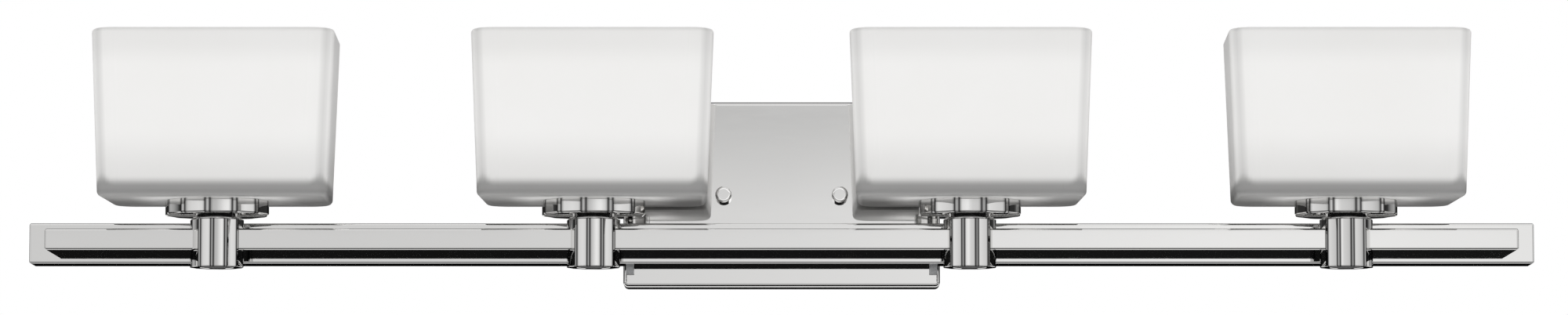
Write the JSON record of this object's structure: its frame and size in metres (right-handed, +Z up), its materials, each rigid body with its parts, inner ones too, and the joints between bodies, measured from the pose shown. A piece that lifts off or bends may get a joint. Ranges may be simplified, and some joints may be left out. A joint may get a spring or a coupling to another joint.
{
  "type": "vanity light bar",
  "caption": "Wall light bar with square opal glass cups on fluted chrome stems along a shelf rail, held by a rectangular backplate.",
  "frame": {"origin": "middle of the cross strap, on the wall plane and midway between the junction box screws; the backplate's outline is centred 0.9 mm higher", "axes": "+Z up, +X to the right seen from the front, -Y out from the wall towards the viewer"},
  "size_m": [0.899, 0.125, 0.1464],
  "materials": {
    "opal_glass": "acid-etched satin, white all through",
    "polished_chrome": "polished",
    "dark_chrome": "polished, in shade",
    "silicone": "matt, translucent white",
    "steel_hardware": "zinc plated",
    "socket_ceramic": "unglazed",
    "bulb_glass": "clear",
    "bulb_pinch": "satin",
    "brass_hardware": "plain threaded",
    "black_plastic": "matt",
    "black_insulation": "smooth",
    "white_insulation": "smooth",
    "galvanised_steel": "galvanised",
    "green_screw": "green"
  },
  "bodies": {
    "fixture": {"collar_1": "polished_chrome", "collar_2": "polished_chrome", "collar_3": "polished_chrome", "collar_4": "polished_chrome", "neck_1": "dark_chrome", "neck_2": "dark_chrome", "neck_3": "dark_chrome", "neck_4": "dark_chrome", "stem_1": "polished_chrome", "stem_2": "polished_chrome", "stem_3": "polished_chrome", "stem_4": "polished_chrome", "gasket_1": "silicone", "gasket_2": "silicone", "gasket_3": "silicone", "gasket_4": "silicone", "sleeve_1": "steel_hardware", "sleeve_2": "steel_hardware", "sleeve_3": "steel_hardware", "sleeve_4": "steel_hardware", "socket_1": "socket_ceramic", "socket_2": "socket_ceramic", "socket_3": "socket_ceramic", "socket_4": "socket_ceramic", "stem_nipples": "brass_hardware", "stem_nuts": "steel_hardware", "stem_plugs": "black_plastic", "black_leads": "black_insulation", "white_leads": "white_insulation", "rear_bar": "polished_chrome", "bar_cover": "galvanised_steel", "cover_screws": "steel_hardware", "front_rail": "polished_chrome", "bar_tab_left": "steel_hardware", "bar_tab_right": "steel_hardware", "backplate": "polished_chrome", "centre_nipple": "brass_hardware", "centre_nuts": "steel_hardware", "cross_strap": "galvanised_steel", "strap_studs": "steel_hardware", "stud_nuts": "steel_hardware", "ground_screw": "green_screw"},
    "glass_1": {"shade_1": "opal_glass"},
    "ring_1": {"ring_nut_1": "steel_hardware"},
    "lamp_bulb_1": {"bulb_1": "bulb_glass", "bulb_base_1": "bulb_pinch"},
    "glass_2": {"shade_2": "opal_glass"},
    "ring_2": {"ring_nut_2": "steel_hardware"},
    "lamp_bulb_2": {"bulb_2": "bulb_glass", "bulb_base_2": "bulb_pinch"},
    "glass_3": {"shade_3": "opal_glass"},
    "ring_3": {"ring_nut_3": "steel_hardware"},
    "lamp_bulb_3": {"bulb_3": "bulb_glass", "bulb_base_3": "bulb_pinch"},
    "glass_4": {"shade_4": "opal_glass"},
    "ring_4": {"ring_nut_4": "steel_hardware"},
    "lamp_bulb_4": {"bulb_4": "bulb_glass", "bulb_base_4": "bulb_pinch"},
    "cap_left": {"cap_nut_left": "polished_chrome"},
    "cap_right": {"cap_nut_right": "polished_chrome"}
  },
  "joints": [
    {"name": "glass_lift_1", "type": "slide", "parent": "fixture", "child": "glass_1", "axis": [0, 0, 1], "range_m": [0, 0.09]},
    {"name": "ring_turn_1", "type": "hinge", "parent": "glass_1", "child": "ring_1", "pos_m": [-0.3345, -0.078, 0.0006], "axis": [0, 0, 1], "continuous": true},
    {"name": "bulb_pull_1", "type": "slide", "parent": "fixture", "child": "lamp_bulb_1", "axis": [0, 0, 1], "range_m": [0, 0.095]},
    {"name": "glass_lift_2", "type": "slide", "parent": "fixture", "child": "glass_2", "axis": [0, 0, 1], "range_m": [0, 0.09]},
    {"name": "ring_turn_2", "type": "hinge", "parent": "glass_2", "child": "ring_2", "pos_m": [-0.1114, -0.078, 0.0006], "axis": [0, 0, 1], "continuous": true},
    {"name": "bulb_pull_2", "type": "slide", "parent": "fixture", "child": "lamp_bulb_2", "axis": [0, 0, 1], "range_m": [0, 0.095]},
    {"name": "glass_lift_3", "type": "slide", "parent": "fixture", "child": "glass_3", "axis": [0, 0, 1], "range_m": [0, 0.09]},
    {"name": "ring_turn_3", "type": "hinge", "parent": "glass_3", "child": "ring_3", "pos_m": [0.1114, -0.078, 0.0006], "axis": [0, 0, 1], "continuous": true},
    {"name": "bulb_pull_3", "type": "slide", "parent": "fixture", "child": "lamp_bulb_3", "axis": [0, 0, 1], "range_m": [0, 0.095]},
    {"name": "glass_lift_4", "type": "slide", "parent": "fixture", "child": "glass_4", "axis": [0, 0, 1], "range_m": [0, 0.09]},
    {"name": "ring_turn_4", "type": "hinge", "parent": "glass_4", "child": "ring_4", "pos_m": [0.3345, -0.078, 0.0006], "axis": [0, 0, 1], "continuous": true},
    {"name": "bulb_pull_4", "type": "slide", "parent": "fixture", "child": "lamp_bulb_4", "axis": [0, 0, 1], "range_m": [0, 0.095]},
    {"name": "cap_turn_left", "type": "hinge", "parent": "fixture", "child": "cap_left", "pos_m": [-0.03492, -0.028, 0], "axis": [0, -1, 0], "continuous": true},
    {"name": "cap_turn_right", "type": "hinge", "parent": "fixture", "child": "cap_right", "pos_m": [0.03492, -0.028, 0], "axis": [0, -1, 0], "continuous": true}
  ]
}
